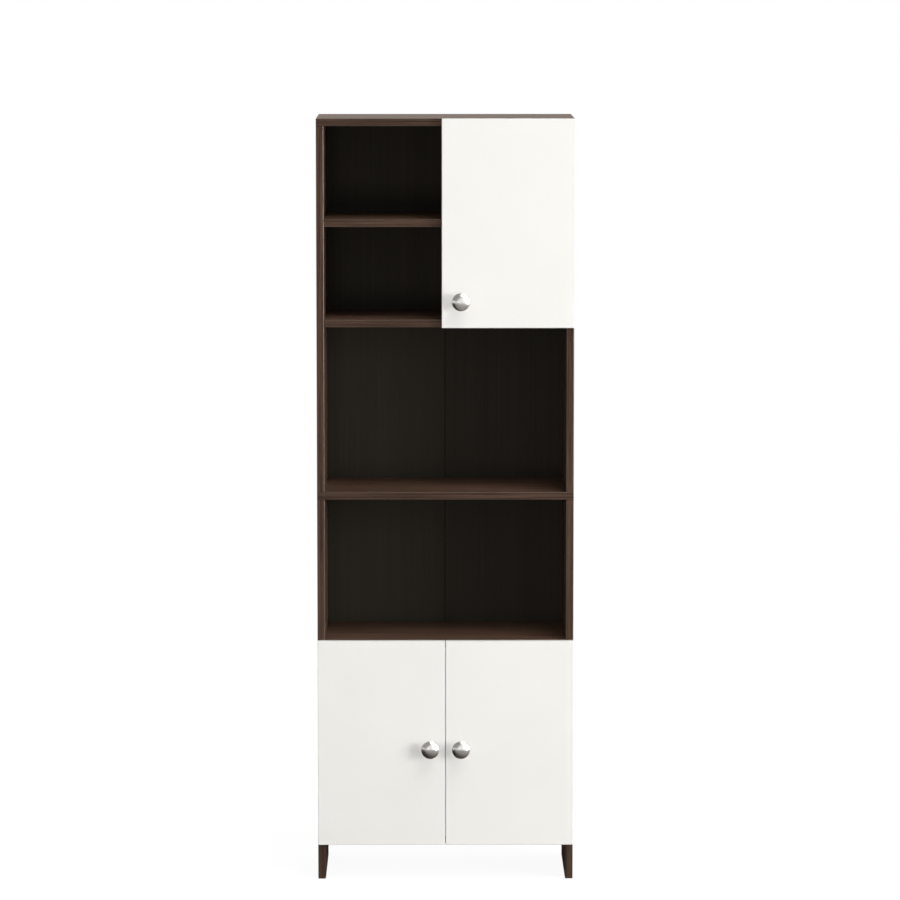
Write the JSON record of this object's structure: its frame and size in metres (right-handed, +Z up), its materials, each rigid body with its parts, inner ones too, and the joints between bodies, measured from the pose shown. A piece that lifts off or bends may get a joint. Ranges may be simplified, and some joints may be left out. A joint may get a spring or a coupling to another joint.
{
  "type": "bookcase with cabinet doors",
  "caption": "Tall narrow walnut bookcase with open shelves, a corner cupboard at the top right and a two-door cupboard at the bottom, off-white doors, round steel knobs.",
  "frame": {"origin": "middle of the bookcase's box at floor level, knobs counted in its depth", "axes": "+Z up, +X to the right as seen from the front, -Y towards the front"},
  "size_m": [0.6, 0.33, 1.79],
  "materials": {
    "walnut_board": "satin melamine",
    "back_sheet": "matt printed hardboard",
    "pale_board": "pale melamine",
    "white_door": "matt off-white",
    "polished_knob": "polished",
    "nickel_hardware": "nickel",
    "beech_dowel": "raw beech"
  },
  "bodies": {
    "carcass": {"lower_left_side": "walnut_board", "lower_right_side": "walnut_board", "upper_left_side": "walnut_board", "upper_right_side": "walnut_board", "top_panel": "walnut_board", "middle_board": "walnut_board", "upper_cupboard_floor": "walnut_board", "upper_left_shelf": "walnut_board", "lower_cupboard_top": "walnut_board", "lower_cupboard_floor": "walnut_board", "upper_partition": "walnut_board", "upper_right_shelf": "walnut_board", "lower_left_shelf": "walnut_board", "lower_right_shelf": "walnut_board", "lower_partition": "pale_board", "lower_back": "back_sheet", "upper_back": "back_sheet", "dowel_left_front": "beech_dowel", "dowel_left_rear": "beech_dowel", "dowel_right_front": "beech_dowel", "dowel_right_rear": "beech_dowel", "upper_right_shelf_pin_left_front": "nickel_hardware", "upper_right_shelf_pin_left_rear": "nickel_hardware", "upper_right_shelf_pin_right_front": "nickel_hardware", "upper_right_shelf_pin_right_rear": "nickel_hardware", "lower_left_shelf_pin_left_front": "nickel_hardware", "lower_left_shelf_pin_left_rear": "nickel_hardware", "lower_left_shelf_pin_right_front": "nickel_hardware", "lower_left_shelf_pin_right_rear": "nickel_hardware", "lower_right_shelf_pin_left_front": "nickel_hardware", "lower_right_shelf_pin_left_rear": "nickel_hardware", "lower_right_shelf_pin_right_front": "nickel_hardware", "lower_right_shelf_pin_right_rear": "nickel_hardware", "upper_door_bottom_hinge_arm": "nickel_hardware", "upper_door_top_hinge_arm": "nickel_hardware", "lower_left_door_bottom_hinge_arm": "nickel_hardware", "lower_left_door_top_hinge_arm": "nickel_hardware", "lower_right_door_bottom_hinge_arm": "nickel_hardware", "lower_right_door_top_hinge_arm": "nickel_hardware"},
    "upper_door": {"upper_door": "white_door", "upper_door_knob": "polished_knob", "upper_door_knob_screw": "nickel_hardware", "upper_door_bottom_hinge_cup": "nickel_hardware", "upper_door_top_hinge_cup": "nickel_hardware"},
    "upper_door_links": {"upper_door_bottom_hinge_link": "nickel_hardware", "upper_door_top_hinge_link": "nickel_hardware"},
    "lower_left_door": {"lower_left_door": "white_door", "lower_left_door_knob": "polished_knob", "lower_left_door_knob_screw": "nickel_hardware", "lower_left_door_bottom_hinge_cup": "nickel_hardware", "lower_left_door_top_hinge_cup": "nickel_hardware"},
    "lower_left_door_links": {"lower_left_door_bottom_hinge_link": "nickel_hardware", "lower_left_door_top_hinge_link": "nickel_hardware"},
    "lower_right_door": {"lower_right_door": "white_door", "lower_right_door_knob": "polished_knob", "lower_right_door_knob_screw": "nickel_hardware", "lower_right_door_bottom_hinge_cup": "nickel_hardware", "lower_right_door_top_hinge_cup": "nickel_hardware"},
    "lower_right_door_links": {"lower_right_door_bottom_hinge_link": "nickel_hardware", "lower_right_door_top_hinge_link": "nickel_hardware"}
  },
  "joints": [
    {"name": "upper_door_hinge", "type": "hinge", "parent": "carcass", "child": "upper_door", "pos_m": [0.2933, -0.129, 1.5475], "axis": [0, 0, 1], "range_deg": [0, 95]},
    {"name": "upper_door_link_pivot", "type": "hinge", "parent": "carcass", "child": "upper_door_links", "pos_m": [0.274, -0.123, 1.5475], "axis": [0, 0, 1], "range_deg": [-44, 0]},
    {"name": "lower_left_door_hinge", "type": "hinge", "parent": "carcass", "child": "lower_left_door", "pos_m": [-0.2933, -0.129, 0.3275], "axis": [0, 0, -1], "range_deg": [0, 95]},
    {"name": "lower_left_door_link_pivot", "type": "hinge", "parent": "carcass", "child": "lower_left_door_links", "pos_m": [-0.274, -0.123, 0.3275], "axis": [0, 0, -1], "range_deg": [-44, 0]},
    {"name": "lower_right_door_hinge", "type": "hinge", "parent": "carcass", "child": "lower_right_door", "pos_m": [0.2933, -0.129, 0.3275], "axis": [0, 0, 1], "range_deg": [0, 95]},
    {"name": "lower_right_door_link_pivot", "type": "hinge", "parent": "carcass", "child": "lower_right_door_links", "pos_m": [0.274, -0.123, 0.3275], "axis": [0, 0, 1], "range_deg": [-44, 0]}
  ],
  "couplings": [
    {"joint": "upper_door_link_pivot", "follows": "upper_door_hinge", "ratio": -0.45727},
    {"joint": "lower_left_door_link_pivot", "follows": "lower_left_door_hinge", "ratio": -0.45727},
    {"joint": "lower_right_door_link_pivot", "follows": "lower_right_door_hinge", "ratio": -0.45727}
  ]
}
